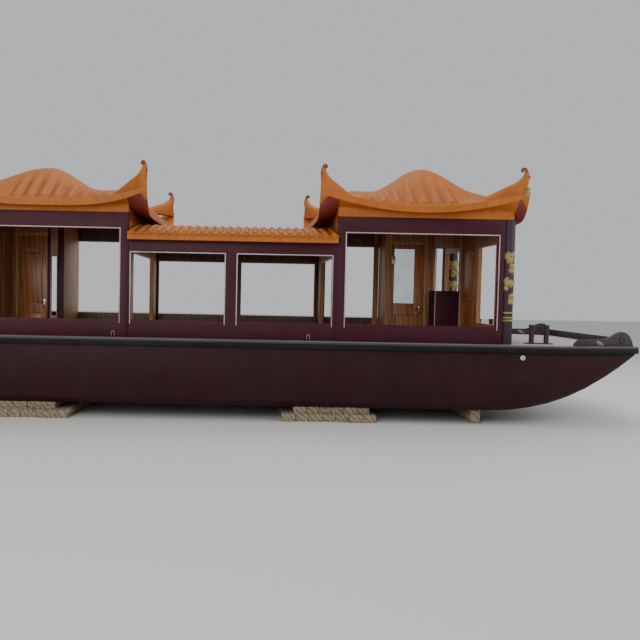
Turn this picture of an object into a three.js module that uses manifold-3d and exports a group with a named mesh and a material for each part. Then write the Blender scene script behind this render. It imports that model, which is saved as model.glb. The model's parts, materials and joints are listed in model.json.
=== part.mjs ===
// A ten-metre painted pleasure boat in the traditional style, standing on timber bearers.
// Millimetres, +Z up, +X to the bow, +Y to port; the floor is z = 0 and midships is x = 0. The boat's
// own heights are measured from a datum level a little above the floor, the bearers' from the floor.
import * as THREE from "three";
import { mergeVertices } from "three/addons/utils/BufferGeometryUtils.js";
import Module from "manifold-3d";

// Driving dimensions of the hull
const HALF_LENGTH = 5235; // midships to the upright end of the hull, both ends alike
const HALF_BEAM = 1475;
const TIP_HALF_BEAM = 1220; // the ends are cut off square and a little narrower
const TAPER_START = 3620; // the sides begin to draw in here
const DATUM = 100; // the datum level's height above the floor
const BOTTOM_Z = 85; // the flat bottom, resting on the bearers
const HULL_TOP = 900;
const DECK_Z = 930;
const RAIL_Z = 840; // lower edge of the rub rail
const RISE_START = 3300; // the flat bottom ends here
const RISE_RADIUS = 2950; // and sweeps up to the ends in an arc
const WELL_X = 3470; // half length of the sunken cabin floor and of the cabins
const SOLE_Z = 300;
const SOLE_THICK = 40;

// Driving dimensions of the cabins
const WALL_OUT = 1300; // outer face of the side walls
const WALL_IN = 1240;
const MID_END = 1335; // the low middle cabin runs from -MID_END to MID_END
const SILL_Z = 1152;
const MID_WINDOW_TOP = 2017;
const MID_WALL_TOP = 2178;
const HIGH_WINDOW_TOP = 2316;
const HIGH_WALL_TOP = 2524;
const HIGH_CENTRE = 2395; // middle of a high cabin's roof
const BULKHEAD_IN = 3410;
const DOOR_TOP = 2330;
const SEAT = 0.3; // gap between pieces that touch

const root = new THREE.Group();
const wasm = await Module();
wasm.setup();

// Colours and finishes, from the photograph
const finish = (color, roughness, metalness = 0) => ({ color, roughness, metalness });
const FINISHES = {
  hull: finish(0x3a2629, 0.45),
  rail: finish(0x232626, 0.6),
  strip: finish(0x8c8c8a, 0.5),
  deck: finish(0x96878c, 0.7),
  maroon: finish(0x46232f, 0.4),
  ochre: finish(0xc8823c, 0.5),
  wood: finish(0x8a5c34, 0.5),
  lightwood: finish(0xa5733c, 0.5),
  plum: finish(0x322332, 0.45),
  steel: finish(0x8f9194, 0.35, 0.9),
  bronze: finish(0xa07a42, 0.35, 0.9),
  timber: finish(0xa59682, 0.9),
  glass: finish(0xbfd0cc, 0.1),
};

// A closed geometry as a manifold solid, its faces turned out if a mirroring turned them in.
function toSolid(geometry) {
  const bare = geometry.index ? geometry.toNonIndexed() : geometry.clone();
  const points = new THREE.BufferGeometry();
  points.setAttribute("position", bare.getAttribute("position"));
  const merged = mergeVertices(points, 1e-3);
  const triVerts = new Uint32Array(merged.index.array);
  const vertProperties = merged.attributes.position.array;
  const made = () => new wasm.Manifold(new wasm.Mesh({ numProp: 3, vertProperties, triVerts }));
  const solid = made();
  if (solid.volume() > 0) return solid;
  for (let i = 0; i < triVerts.length; i += 3) {
    [triVerts[i + 1], triVerts[i + 2]] = [triVerts[i + 2], triVerts[i + 1]];
  }
  return made();
}

function toGeometry(solid) {
  const { vertProperties, triVerts } = solid.getMesh();
  const geometry = new THREE.BufferGeometry();
  geometry.setAttribute("position", new THREE.BufferAttribute(vertProperties, 3));
  geometry.setIndex(new THREE.BufferAttribute(triVerts, 1));
  return geometry;
}

const join = (...pieces) => toGeometry(pieces.map(toSolid).reduce((all, next) => all.add(next)));
const cut = (body, ...tools) =>
  toGeometry(tools.map(toSolid).reduce((left, tool) => left.subtract(tool), toSolid(body)));

// Adds one named piece; place is a position over the datum, and turn an angle about the upright axis.
function piece(name, geometry, look, [x, y, z] = [0, 0, 0], turn = 0) {
  const material = new THREE.MeshStandardMaterial(FINISHES[look]);
  const mesh = new THREE.Mesh(geometry, material);
  mesh.name = name;
  mesh.position.set(x, y, z + DATUM);
  mesh.rotation.z = turn;
  root.add(mesh);
}

function box([x0, x1], [y0, y1], [z0, z1]) {
  const geometry = new THREE.BoxGeometry(x1 - x0, y1 - y0, z1 - z0);
  return geometry.translate((x0 + x1) / 2, (y0 + y1) / 2, (z0 + z1) / 2);
}

const polygon = (points) => new THREE.Shape(points.map(([a, b]) => new THREE.Vector2(a, b)));
const extrude = (shape, depth) =>
  new THREE.ExtrudeGeometry(shape, { depth, bevelEnabled: false, curveSegments: 8 });

// Flat shapes stood up: on the deck (x, y), along the boat (x, z) and across it (y, z)
const plate = (points, [z0, z1]) => extrude(polygon(points), z1 - z0).translate(0, 0, z0);
const lengthwise = (points, [y0, y1]) =>
  extrude(polygon(points), y1 - y0).rotateX(Math.PI / 2).translate(0, y1, 0);
const ACROSS = new THREE.Matrix4().makeBasis(
  new THREE.Vector3(0, 1, 0),
  new THREE.Vector3(0, 0, 1),
  new THREE.Vector3(1, 0, 0),
);
const across = (points, [x0, x1]) =>
  extrude(polygon(points), x1 - x0).applyMatrix4(ACROSS).translate(x0, 0, 0);

// A round bar along Z from z0 to z1
const bar = (radius, [z0, z1], sides = 16) =>
  new THREE.CylinderGeometry(radius, radius, z1 - z0, sides)
    .rotateX(Math.PI / 2)
    .translate(0, 0, (z0 + z1) / 2);

// A box with a grid of nx by ny by nz cells whose corners are moved by place(i, j, k)
function lattice(nx, ny, nz, place) {
  const geometry = new THREE.BoxGeometry(nx, ny, nz, nx, ny, nz);
  const position = geometry.getAttribute("position");
  for (let n = 0; n < position.count; n += 1) {
    const i = Math.round(position.getX(n) + nx / 2);
    const j = Math.round(position.getY(n) + ny / 2);
    const k = Math.round(position.getZ(n) + nz / 2);
    position.setXYZ(n, ...place(i, j, k));
  }
  return geometry;
}

// Hull: a flat-bottomed solid with square ends that sweep up, and its sunken cabin well
const ARC_STEPS = 8;
const RISE_ANGLE = Math.asin((HALF_LENGTH - RISE_START) / RISE_RADIUS);
const STATIONS = [];
for (let i = 0; i <= ARC_STEPS; i += 1) {
  STATIONS.push(RISE_START + RISE_RADIUS * Math.sin((RISE_ANGLE * i) / ARC_STEPS));
}
const ALL_STATIONS = [...STATIONS.map((x) => -x).reverse(), ...STATIONS];

function halfBeam(x) {
  const past = Math.max(0, Math.abs(x) - TAPER_START) / (HALF_LENGTH - TAPER_START);
  return HALF_BEAM - (HALF_BEAM - TIP_HALF_BEAM) * past ** 2;
}

function bottomZ(x) {
  const past = Math.max(0, Math.abs(x) - RISE_START);
  return BOTTOM_Z + RISE_RADIUS - Math.sqrt(RISE_RADIUS ** 2 - past ** 2);
}

// How far the side draws in, and how high it is between the bottom and the rail
const SECTION = [
  { share: 0, inward: 120 },
  { share: 0.1, inward: 40 },
  { share: 0.45, inward: 0 },
  { share: 1, inward: 0 },
];
const ACROSS_CELLS = 4;
const hullForm = lattice(ALL_STATIONS.length - 1, ACROSS_CELLS, SECTION.length, (i, j, k) => {
  const x = ALL_STATIONS[i];
  const v = (2 * j) / ACROSS_CELLS - 1;
  if (k === SECTION.length) return [x, v * halfBeam(x), HULL_TOP];
  const low = bottomZ(x);
  return [
    x,
    v * (halfBeam(x) - SECTION[k].inward),
    low + (RAIL_Z - low) * SECTION[k].share,
  ];
});

const MOTOR = { x: [-4050, -3620], y: [-200, 200], z: [380, 720] };
const MOTOR_WELL = { x: [-4150, -3540], y: [-350, 350], z: 380 - SEAT };
const RUDDER_X = -4920;
const RUDDER_STOCK = { radius: 20, top: 760 };
const PIN_CLEARANCE = 0.5;
const well = box([-WELL_X - SEAT, WELL_X + SEAT], [-WALL_IN, WALL_IN], [SOLE_Z - SOLE_THICK, 1000]);
const motorWell = box(MOTOR_WELL.x, MOTOR_WELL.y, [MOTOR_WELL.z, 1000]);
const rudderBore = bar(
  RUDDER_STOCK.radius + PIN_CLEARANCE,
  [0, RUDDER_STOCK.top + 10],
).translate(RUDDER_X, 0, 0);
piece("hull", cut(hullForm, well, motorWell, rudderBore), "hull");

// The hull's outline in plan, moved outwards by a distance
function planOutline(outward) {
  const end = (x) => Math.sign(x) * (Math.abs(x) === HALF_LENGTH ? HALF_LENGTH + outward : Math.abs(x));
  const starboard = ALL_STATIONS.map((x) => [end(x), -halfBeam(x) - outward]);
  const port = [...ALL_STATIONS].reverse().map((x) => [end(x), halfBeam(x) + outward]);
  return [...starboard, ...port];
}

const RAIL_OUT = 30;
const CAPPING_IN = HALF_BEAM - WALL_OUT; // the capping reaches in to the cabin walls
piece(
  "rub_rail",
  cut(plate(planOutline(RAIL_OUT), [RAIL_Z, HULL_TOP - SEAT]), plate(planOutline(SEAT), [0, 1000])),
  "rail",
);
piece(
  "gunwale_capping",
  cut(plate(planOutline(RAIL_OUT), [HULL_TOP, DECK_Z]), plate(planOutline(-CAPPING_IN + SEAT), [0, 1000])),
  "strip",
);

// Decks at the two ends and the sunken floor between them
const DECK_IN = WELL_X + SEAT;
const decks = plate(planOutline(-CAPPING_IN - SEAT), [HULL_TOP + SEAT, DECK_Z]);
const aftOf = box([-6000, DECK_IN], [-2000, 2000], [0, 2000]);
const foreOf = box([-DECK_IN, 6000], [-2000, 2000], [0, 2000]);
piece("foredeck", cut(decks, aftOf), "deck");
piece("aft_deck", cut(decks, foreOf), "deck");
piece(
  "cabin_sole",
  box([-WELL_X, WELL_X], [SEAT - WALL_IN, WALL_IN - SEAT], [SOLE_Z - SOLE_THICK + SEAT, SOLE_Z]),
  "wood",
);

// Side walls with their window openings: ends, top, and each window's start, end and top
const MID_WINDOWS = [
  { x: [-1302, -103], top: MID_WINDOW_TOP },
  { x: [63, 1272], top: MID_WINDOW_TOP },
];
const HIGH_WINDOW = { x: [1450, 3395], top: HIGH_WINDOW_TOP };
const mirrored = ({ x: [x0, x1], top }) => ({ x: [-x1, -x0], top });
const WALLS = [
  { name: "aft", x: [-WELL_X, -MID_END - SEAT], top: HIGH_WALL_TOP, windows: [mirrored(HIGH_WINDOW)] },
  { name: "mid", x: [-MID_END, MID_END], top: MID_WALL_TOP, windows: MID_WINDOWS },
  { name: "fore", x: [MID_END + SEAT, WELL_X], top: HIGH_WALL_TOP, windows: [HIGH_WINDOW] },
];
const SIDES = [
  { side: "stbd", sign: -1, y: [-WALL_OUT, -WALL_IN] },
  { side: "port", sign: 1, y: [WALL_IN, WALL_OUT] },
];
for (const { side, y } of SIDES) {
  for (const { name, x, top, windows } of WALLS) {
    const holes = windows.map((w) => box(w.x, [-2000, 2000], [SILL_Z, w.top]));
    const wall = box(x, y, [HULL_TOP + SEAT, top - SEAT]);
    piece(`${name}_wall_${side}`, cut(wall, ...holes), "maroon");
  }
}

// Bulkheads that close the cabins' ends, each with a doorway and windows beside it
const BULKHEAD_WINDOW_Z = [1170, 2220];
const DOORWAY = { half: 330, foot: 950 };
const BULKHEADS = [
  {
    name: "fore_bulkhead",
    x: [BULKHEAD_IN, WELL_X],
    doorY: 0,
    windows: [[-1150, -450], [450, 1150]],
  },
  { name: "aft_bulkhead", x: [-WELL_X, -BULKHEAD_IN], doorY: -300, windows: [[-1150, -750]] },
];
for (const { name, x, doorY, windows } of BULKHEADS) {
  const panel = box(x, [SEAT - WALL_IN, WALL_IN - SEAT], [SOLE_Z + SEAT, HIGH_WALL_TOP - SEAT]);
  const wide = [x[0] - 100, x[1] + 100];
  const doorway = box(wide, [doorY - DOORWAY.half, doorY + DOORWAY.half], [DOORWAY.foot, DOOR_TOP]);
  const holes = windows.map((y) => box(wide, y, BULKHEAD_WINDOW_Z));
  piece(name, cut(panel, doorway, ...holes), "wood");
}

// Portals between the cabins, and the ochre panels that close the step in the roofs
const PORTAL_THICK = 60;
const PORTAL_OPENING = { half: 900, top: 2030 };
for (const [name, end] of [["fore", 1], ["aft", -1]]) {
  const near = MID_END + SEAT;
  const x = end > 0 ? [near, near + PORTAL_THICK] : [-near - PORTAL_THICK, -near];
  const y = [SEAT - WALL_IN, WALL_IN - SEAT];
  const frame = box(x, y, [SOLE_Z + SEAT, MID_WALL_TOP]);
  const opening = box([x[0] - 50, x[1] + 50], [-PORTAL_OPENING.half, PORTAL_OPENING.half], [0, PORTAL_OPENING.top]);
  piece(`${name}_portal`, cut(frame, opening), "lightwood");
  piece(`${name}_roof_infill`, box(x, y, [MID_WALL_TOP + SEAT, HIGH_WALL_TOP - SEAT]), "ochre");
}

// Columns at the four outer corners of the high cabins
const COLUMN = { x: 3547, y: 1222, radius: 76 };
const columnGeometry = () => bar(COLUMN.radius, [DECK_Z + SEAT, HIGH_WALL_TOP - SEAT], 24);
for (const { side, sign } of SIDES) {
  piece(`fore_column_${side}`, columnGeometry(), "plum", [COLUMN.x, sign * COLUMN.y, 0]);
  piece(`aft_column_${side}`, columnGeometry(), "plum", [-COLUMN.x, sign * COLUMN.y, 0]);
}

// A hinged door leaf: its hinge axis is the origin's upright, the leaf runs to +X and lies at +Y
const HINGE = { radius: 8, seat: 0.4, half: 60, strap: 60 };
const EDGE = 2.5; // from the hinge axis to the leaf's edge, half the gap to the jamb
const LEAF = { thick: 36, handleZ: 1020, handleIn: 65 };
const HANDLE = { length: 110, height: 18, stand: 45 };
const AXIS_OUT = HINGE.radius + HINGE.seat;
function doorLeaf({ width, height, glass, floorToFoot = 0, handleInside = false }) {
  const depth = [AXIS_OUT, AXIS_OUT + LEAF.thick];
  const leaf = box([EDGE, EDGE + width], depth, [0, height]);
  const hinges = [0.12, 0.88].flatMap((share) => {
    const z = [height * share - HINGE.half, height * share + HINGE.half];
    return [bar(HINGE.radius, z), box([0, HINGE.strap], [AXIS_OUT - 5, AXIS_OUT + 1], z)];
  });
  const far = EDGE + width - LEAF.handleIn;
  const z = LEAF.handleZ - floorToFoot;
  const face = handleInside ? [depth[1] - 1, depth[1] + HANDLE.stand] : [depth[0] - HANDLE.stand, depth[0] + 1];
  const grip = handleInside ? [face[1] - HANDLE.height, face[1]] : [face[0], face[0] + HANDLE.height];
  const stem = box([far, far + HANDLE.height], face, [z - HANDLE.height / 2, z + HANDLE.height / 2]);
  const lever = box(
    [far + HANDLE.height - HANDLE.length, far + HANDLE.height],
    grip,
    [z - HANDLE.height / 2, z + HANDLE.height / 2],
  );
  const whole = join(leaf, ...hinges, stem, lever);
  if (!glass) return whole;
  return cut(whole, box(glass.x, [-100, 200], glass.z));
}

// End doors open outwards over the decks; their feet are at deck level
const END_DOOR = { width: 2 * DOORWAY.half - 2 * EDGE - 5, height: DOOR_TOP - DOORWAY.foot - 10, foot: 955 };
const stepUp = DOORWAY.foot - SOLE_Z - 350; // the handle is lower on these short doors
for (const { name, end, doorY } of [
  { name: "fore_door", end: 1, doorY: 0 },
  { name: "aft_door", end: -1, doorY: -300 },
]) {
  const leaf = doorLeaf({ ...END_DOOR, floorToFoot: stepUp });
  const axisX = end * (WELL_X + AXIS_OUT);
  const axisY = doorY - end * (DOORWAY.half - EDGE);
  piece(name, leaf, "wood", [axisX, axisY, END_DOOR.foot], (end * Math.PI) / 2);
}

// Cubicles on the port side: panels round three sides, with a doorway in the long one
const PANEL = 30;
const CUBICLES = [
  {
    name: "fore_cubicle",
    x: [2330, 3120],
    face: 700,
    door: [2432, 2942],
    slot: null,
  },
  {
    name: "toilet_cubicle",
    x: [SEAT - BULKHEAD_IN, -2620],
    face: 360,
    door: [-3310, -2865],
    slot: { x: [-2810, -2730], z: [1120, 2020] },
  },
];
for (const { name, x, face, door, slot } of CUBICLES) {
  const z = [SOLE_Z + SEAT, HIGH_WALL_TOP - SEAT];
  const shell = box(x, [face, WALL_IN - SEAT], z);
  const inside = box([x[0] + PANEL, x[1] - PANEL], [face + PANEL, 2000], [0, 4000]);
  const holes = [box(door, [face - 50, face + 100], [0, DOOR_TOP])];
  if (slot) holes.push(box(slot.x, [face - 50, face + 100], slot.z));
  piece(name, cut(shell, inside, ...holes), "lightwood");
}

const CUBICLE_DOOR = { height: DOOR_TOP - SOLE_Z - 10, foot: SOLE_Z + 5 };
const GLASS = { x: [41, 359], z: [1105, 1955] };
const [foreDoor0, foreDoor1] = CUBICLES[0].door;
const foreLeaf = { width: foreDoor1 - foreDoor0 - 2 * EDGE - 5, height: CUBICLE_DOOR.height, glass: GLASS };
const foreAxis = [foreDoor0 + EDGE, CUBICLES[0].face - AXIS_OUT, CUBICLE_DOOR.foot];
piece("fore_cubicle_door", doorLeaf(foreLeaf), "wood", foreAxis);
const PANE = 5;
const paneY = AXIS_OUT + (LEAF.thick - PANE) / 2;
piece(
  "fore_cubicle_glass",
  box(
    [GLASS.x[0] + SEAT, GLASS.x[1] - SEAT],
    [paneY, paneY + PANE],
    [GLASS.z[0] + SEAT, GLASS.z[1] - SEAT],
  ),
  "glass",
  foreAxis,
);

// The toilet door opens into its cubicle, so its hinges are on the inner face
const [toiletDoor0, toiletDoor1] = CUBICLES[1].door;
const toiletLeaf = doorLeaf({
  width: toiletDoor1 - toiletDoor0 - 2 * EDGE - 5,
  height: CUBICLE_DOOR.height,
  handleInside: true,
}).applyMatrix4(new THREE.Matrix4().makeScale(1, -1, 1));
piece(
  "toilet_door",
  toGeometry(toSolid(toiletLeaf)),
  "lightwood",
  [toiletDoor0 + EDGE, CUBICLES[1].face + PANEL + AXIS_OUT, CUBICLE_DOOR.foot],
);

// Fittings inside: a low maroon cabinet behind the fore bulkhead, and the steps down to the floor
piece("fore_cabinet", box([3025, BULKHEAD_IN - SEAT], [335, 670], [SOLE_Z + SEAT, 1615]), "maroon");
const STEP = { tread: 250, tops: [510, 720], half: 300 };
for (const { name, end, y } of [
  { name: "fore_steps", end: 1, y: 0 },
  { name: "aft_steps", end: -1, y: -300 },
]) {
  const back = BULKHEAD_IN - SEAT;
  const profile = [
    [end * back, SOLE_Z + SEAT],
    [end * (back - 2 * STEP.tread), SOLE_Z + SEAT],
    [end * (back - 2 * STEP.tread), STEP.tops[0]],
    [end * (back - STEP.tread), STEP.tops[0]],
    [end * (back - STEP.tread), STEP.tops[1]],
    [end * back, STEP.tops[1]],
  ];
  piece(name, lengthwise(profile, [y - STEP.half, y + STEP.half]), "wood");
}

// High roofs: a humped helmet roof with a swept eave, tile rolls above it and a horn at each corner.
// Along these roofs x runs outwards from midships, from the roof's own middle.
const EAVE = { x: 1310, y: 1450, mid: 2578, endMid: 2485, lift: 215, band: 85, endBand: 45 };
const SLOPE = { side: 850, end: 560 }; // plan width of the slopes round the crest
// The hand-made roofs differ: crest height beside the hump, the hump's height, middle and half
// widths, and how sharply the long eaves sweep up
const SHAPES = {
  fore: { valley: 2945, hump: 315, centre: 125, inner: 700, outer: 800, sweep: 2 },
  aft: { valley: 2890, hump: 290, centre: 125, inner: 700, outer: 1150, sweep: 3.2 },
};
function eaveZ(x, y, sweep) {
  const u = Math.abs(x) / EAVE.x;
  const inwards = (Math.abs(y) / EAVE.y) ** (2 + 12 * u ** 6);
  const sag = (EAVE.mid - EAVE.endMid) * u ** 4 * (1 - inwards);
  return EAVE.mid - sag + EAVE.lift * u ** sweep * inwards;
}

const bandAt = (x) => EAVE.band - (EAVE.band - EAVE.endBand) * (Math.abs(x) / EAVE.x) ** 8;

function crestZ(x, { valley, hump, centre, inner, outer }) {
  const share = Math.abs(x - centre) / (x < centre ? inner : outer);
  return share > 1 ? valley : valley + hump * Math.cos((Math.PI * share) / 2) ** 2;
}

// Tile rolls: round ribs with sunken pans between them, down the middle of each of the four slopes.
// The share is 0 at the eave and 1 at the crest.
const ROLL = { pitch: 168, rise: 40, pan: 0.3, from: 0.05, fade: 0.42, to: 0.72 };
const SIDE_ROLLS = { centre: -145, count: 7 };
const END_ROLLS = { centre: 0, count: 6 };
function rollRise(at, { centre, count }, share) {
  const along = at - centre + (count * ROLL.pitch) / 2;
  if (along < 0 || along > count * ROLL.pitch || share <= ROLL.from || share >= ROLL.to) return 0;
  const wave = -Math.cos((2 * Math.PI * along) / ROLL.pitch);
  const profile = (1 - ROLL.pan + (1 + ROLL.pan) * Math.sign(wave) * Math.abs(wave) ** 0.7) / 2;
  return ROLL.rise * profile * Math.min(1, (ROLL.to - share) / (ROLL.to - ROLL.fade));
}

function roofZ(x, y, shape) {
  const fromSide = (EAVE.y - Math.abs(y)) / SLOPE.side;
  const fromEnd = (EAVE.x - Math.abs(x)) / SLOPE.end;
  const s = Math.min(1, fromSide, fromEnd);
  const low = eaveZ(x, y, shape.sweep) + bandAt(x);
  const climb = 0.7 * Math.sin((Math.PI * s) / 2) ** 2 + 0.3 * s * (2 - s);
  const rolls = fromSide < fromEnd ? rollRise(x, SIDE_ROLLS, s) : rollRise(y, END_ROLLS, s);
  return low + (crestZ(x, shape) - low) * climb + rolls;
}

// Grid lines of the roof: a set number to a tile roll, and closer towards the eave beyond the rolls
function gridLines(half, { centre, count }, perRoll, outer) {
  const reach = (count * ROLL.pitch) / 2;
  const [first, last] = [centre - reach, centre + reach];
  const eased = (i) => 1 - (1 - i / outer) ** 1.6;
  const lines = [];
  for (let i = outer; i > 0; i -= 1) lines.push(first - (half + first) * eased(i));
  for (let i = 0; i <= count * perRoll; i += 1) lines.push(first + (ROLL.pitch * i) / perRoll);
  for (let i = 1; i <= outer; i += 1) lines.push(last + (half - last) * eased(i));
  return lines;
}
const CANOPY_X = gridLines(EAVE.x, SIDE_ROLLS, 4, 7);
const CANOPY_Y = gridLines(EAVE.y, END_ROLLS, 2, 9);
function canopy(shape, end) {
  return lattice(CANOPY_X.length - 1, CANOPY_Y.length - 1, 1, (i, j, k) => {
    const [x, y] = [CANOPY_X[i], CANOPY_Y[j]];
    return [end * x, y, k === 1 ? roofZ(x, y, shape) : eaveZ(x, y, shape.sweep)];
  });
}

// A horn's sections from the bottom up: height, how far from the corner its middle lies along the
// diagonal, half its depth along the diagonal and its width across
const HORN = [
  { z: 2780, at: -320, half: 310, wide: 170 },
  { z: 2835, at: -228, half: 216, wide: 165 },
  { z: 2880, at: -182, half: 167, wide: 155 },
  { z: 2940, at: -124, half: 104, wide: 140 },
  { z: 2980, at: -81, half: 65, wide: 115 },
  { z: 3023, at: -54, half: 43, wide: 90 },
  { z: 3065, at: -38, half: 27, wide: 72 },
  { z: 3106, at: -35, half: 20, wide: 60 },
  { z: 3140, at: -44, half: 19, wide: 50 },
  { z: 3166, at: -64, half: 17, wide: 42 },
];
const HORN_BLUNT = 0.5; // how wide a section's inner and outer edge are
function horn(sx, sy) {
  return lattice(2, 1, HORN.length - 1, (i, j, k) => {
    const { z, at, half, wide } = HORN[k];
    const out = at + (i - 1) * half;
    const aside = (j - 0.5) * wide * (i === 1 ? 1 : HORN_BLUNT) * Math.SQRT1_2;
    return [sx * (EAVE.x + out + aside), sy * (EAVE.y + out - aside), z];
  });
}

// Each roof stands on an ochre base whose inner end is flush with its cabin's inner end
const CORNERS = [[1, 1], [1, -1], [-1, 1], [-1, -1]];
const ROOF_BASE = { inner: MID_END + 1, outer: 3578, y: WALL_OUT + 6, top: 2660 };
for (const [name, end] of [["fore", 1], ["aft", -1]]) {
  const ends = [end * ROOF_BASE.inner, end * ROOF_BASE.outer].sort((a, b) => a - b);
  const x = ends.map((at) => at - end * HIGH_CENTRE);
  const base = box(x, [-ROOF_BASE.y, ROOF_BASE.y], [HIGH_WALL_TOP, ROOF_BASE.top]);
  const horns = CORNERS.map(([sx, sy]) => horn(sx, sy));
  const roof = join(canopy(SHAPES[name], end), base, ...horns);
  piece(`${name}_roof`, roof, "ochre", [end * HIGH_CENTRE, 0, 0]);
}

// Middle roof: a plain fascia under a low pitch with tile rolls side by side, and a ridge board.
// The pitch is steeper from the eave to a knee than from there to the ridge.
const MID_ROOF = { fascia: 1395, eave: 1422, eaveZ: 2266, edge: 14, knee: 880, kneeZ: 2385, ridgeZ: 2428 };
const MID_ROLL = { count: 24, pitch: MID_END / 12, rise: 34 };
const MID_RIDGE = { half: 50, z: [2400, 2470] };
const MID_LINES = [0, 0.2, 0.5, 0.8].map((share) => ({
  share,
  rise: MID_ROLL.rise * Math.sqrt(1 - (2 * share - 1) ** 2),
}));
const MID_ROWS = [
  { y: -MID_ROOF.eave, z: MID_ROOF.eaveZ },
  { y: -MID_ROOF.knee, z: MID_ROOF.kneeZ },
  { y: 0, z: MID_ROOF.ridgeZ },
  { y: MID_ROOF.knee, z: MID_ROOF.kneeZ },
  { y: MID_ROOF.eave, z: MID_ROOF.eaveZ },
];
const midPitch = lattice(MID_ROLL.count * MID_LINES.length, MID_ROWS.length - 1, 1, (i, j, k) => {
  const { share, rise } = MID_LINES[i % MID_LINES.length];
  const x = -MID_END + MID_ROLL.pitch * (Math.floor(i / MID_LINES.length) + share);
  const { y, z } = MID_ROWS[j];
  return [x, y, k === 1 ? z + MID_ROOF.edge + rise : z];
});
const midInside = [
  [MID_ROOF.fascia, MID_WALL_TOP],
  [MID_ROOF.fascia, MID_ROOF.eaveZ + MID_ROOF.edge],
  [MID_ROOF.knee, MID_ROOF.kneeZ + MID_ROOF.edge / 2],
  [0, MID_ROOF.ridgeZ + MID_ROOF.edge / 2],
];
const otherSide = midInside.slice(0, -1).map(([y, z]) => [-y, z]).reverse();
const midFascia = across([...midInside, ...otherSide], [-MID_END, MID_END]);
const midRidge = box([-MID_END, MID_END], [-MID_RIDGE.half, MID_RIDGE.half], MID_RIDGE.z);
piece("mid_roof", join(midPitch, midFascia, midRidge), "ochre");

// Bow: a carved cheek board on each gunwale, a board across the bow between them, and bitts
const CHEEK = { x: 4790, y: 1272, half: 430, low: 88, hump: 190, thick: 45, angle: 0.19 };
function cheekOutline() {
  const { half, low, hump } = CHEEK;
  const shape = new THREE.Shape();
  shape.moveTo(-half, 0);
  shape.quadraticCurveTo(-half + 40, low * 0.9, -half + 90, low);
  shape.lineTo(-10, low + 4);
  shape.bezierCurveTo(100, low + 10, 160, hump, 255, hump);
  shape.bezierCurveTo(350, hump, 400, 110, half, 0);
  return shape;
}
for (const { side, sign } of SIDES) {
  const board = extrude(cheekOutline(), CHEEK.thick).rotateX(Math.PI / 2).translate(0, CHEEK.thick / 2, 0);
  piece(
    `bow_cheek_${side}`,
    board,
    "plum",
    [CHEEK.x, sign * CHEEK.y, DECK_Z + SEAT],
    -sign * CHEEK.angle,
  );
}
piece("bow_board", box([5150, 5185], [-1130, 1130], [DECK_Z + SEAT, DECK_Z + 95]), "plum");

const BITT = { radius: 32, cap: 38, capHeight: 22, height: 250, apart: 195, x: 4050, y: 1050 };
const BITT_BASE = { half: 170, halfWidth: 60, thick: 12 };
function bitts() {
  const { apart, height, capHeight } = BITT;
  const posts = [-apart / 2, apart / 2].flatMap((x) => [
    bar(BITT.radius, [1, height - 5]).translate(x, 0, 0),
    bar(BITT.cap, [height - capHeight, height]).translate(x, 0, 0),
  ]);
  const { half, halfWidth, thick } = BITT_BASE;
  return join(box([-half, half], [-halfWidth, halfWidth], [0, thick]), ...posts);
}
for (const { side, sign } of SIDES) {
  const height = DECK_Z + SEAT;
  piece(`bow_bitts_${side}`, bitts(), "plum", [BITT.x, sign * BITT.y, height]);
  piece(`stern_bitts_${side}`, bitts(), "plum", [-BITT.x, sign * BITT.y, height]);
}

// Drive: the motor block in its well, the stern tube, the propeller and the rudder
piece("motor", box(MOTOR.x, MOTOR.y, MOTOR.z), "steel");
const SHAFT = { z: 255, radius: 16, tube: 38, tubeEnd: -4590, tubeStart: -4150, inTube: 70 };
const PROPELLER = { x: -4640, hub: 34, hubHalf: 42, radius: 130, blades: 3, pitchAngle: 0.6, thick: 9 };
const alongX = (radius, [x0, x1], sides = 20) =>
  bar(radius, [x0, x1], sides).rotateY(Math.PI / 2);
const tubeBar = alongX(SHAFT.tube, [SHAFT.tubeEnd, SHAFT.tubeStart]).translate(0, 0, SHAFT.z);
const tubeBore = alongX(SHAFT.radius + PIN_CLEARANCE, [-4700, SHAFT.tubeEnd + SHAFT.inTube + 2]);
const hullCutter = hullForm.clone().translate(0, 0, -SEAT);
piece("stern_tube", cut(tubeBar, tubeBore.translate(0, 0, SHAFT.z), hullCutter), "bronze");

function propeller() {
  const { hub, hubHalf, radius, blades, pitchAngle, thick } = PROPELLER;
  const outline = new THREE.Shape();
  outline.moveTo(-22, hub * 0.6);
  outline.bezierCurveTo(-60, 70, -62, radius - 12, 0, radius);
  outline.bezierCurveTo(62, radius - 12, 60, 70, 22, hub * 0.6);
  const blade = (n) =>
    new THREE.ExtrudeGeometry(outline, { depth: thick, bevelEnabled: false, curveSegments: 6 })
      .translate(0, 0, -thick / 2)
      .rotateY(pitchAngle)
      .applyMatrix4(ACROSS)
      .rotateX((2 * Math.PI * n) / blades);
  const shaft = alongX(SHAFT.radius, [0, SHAFT.tubeEnd + SHAFT.inTube - PROPELLER.x]);
  const copies = Array.from({ length: blades }, (_, n) => blade(n));
  return join(alongX(hub, [-hubHalf, hubHalf]), shaft, ...copies);
}
piece("propeller", propeller(), "bronze", [PROPELLER.x, 0, SHAFT.z]);

const RUDDER = { fore: 95, aft: -200, z: [125, 445], thick: 24 };
const blade = box([RUDDER.aft, RUDDER.fore], [-RUDDER.thick / 2, RUDDER.thick / 2], RUDDER.z);
const stock = bar(RUDDER_STOCK.radius, [RUDDER.z[0] + 60, RUDDER_STOCK.top]);
piece("rudder", join(blade, stock), "steel", [RUDDER_X, 0, 0]);

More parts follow.
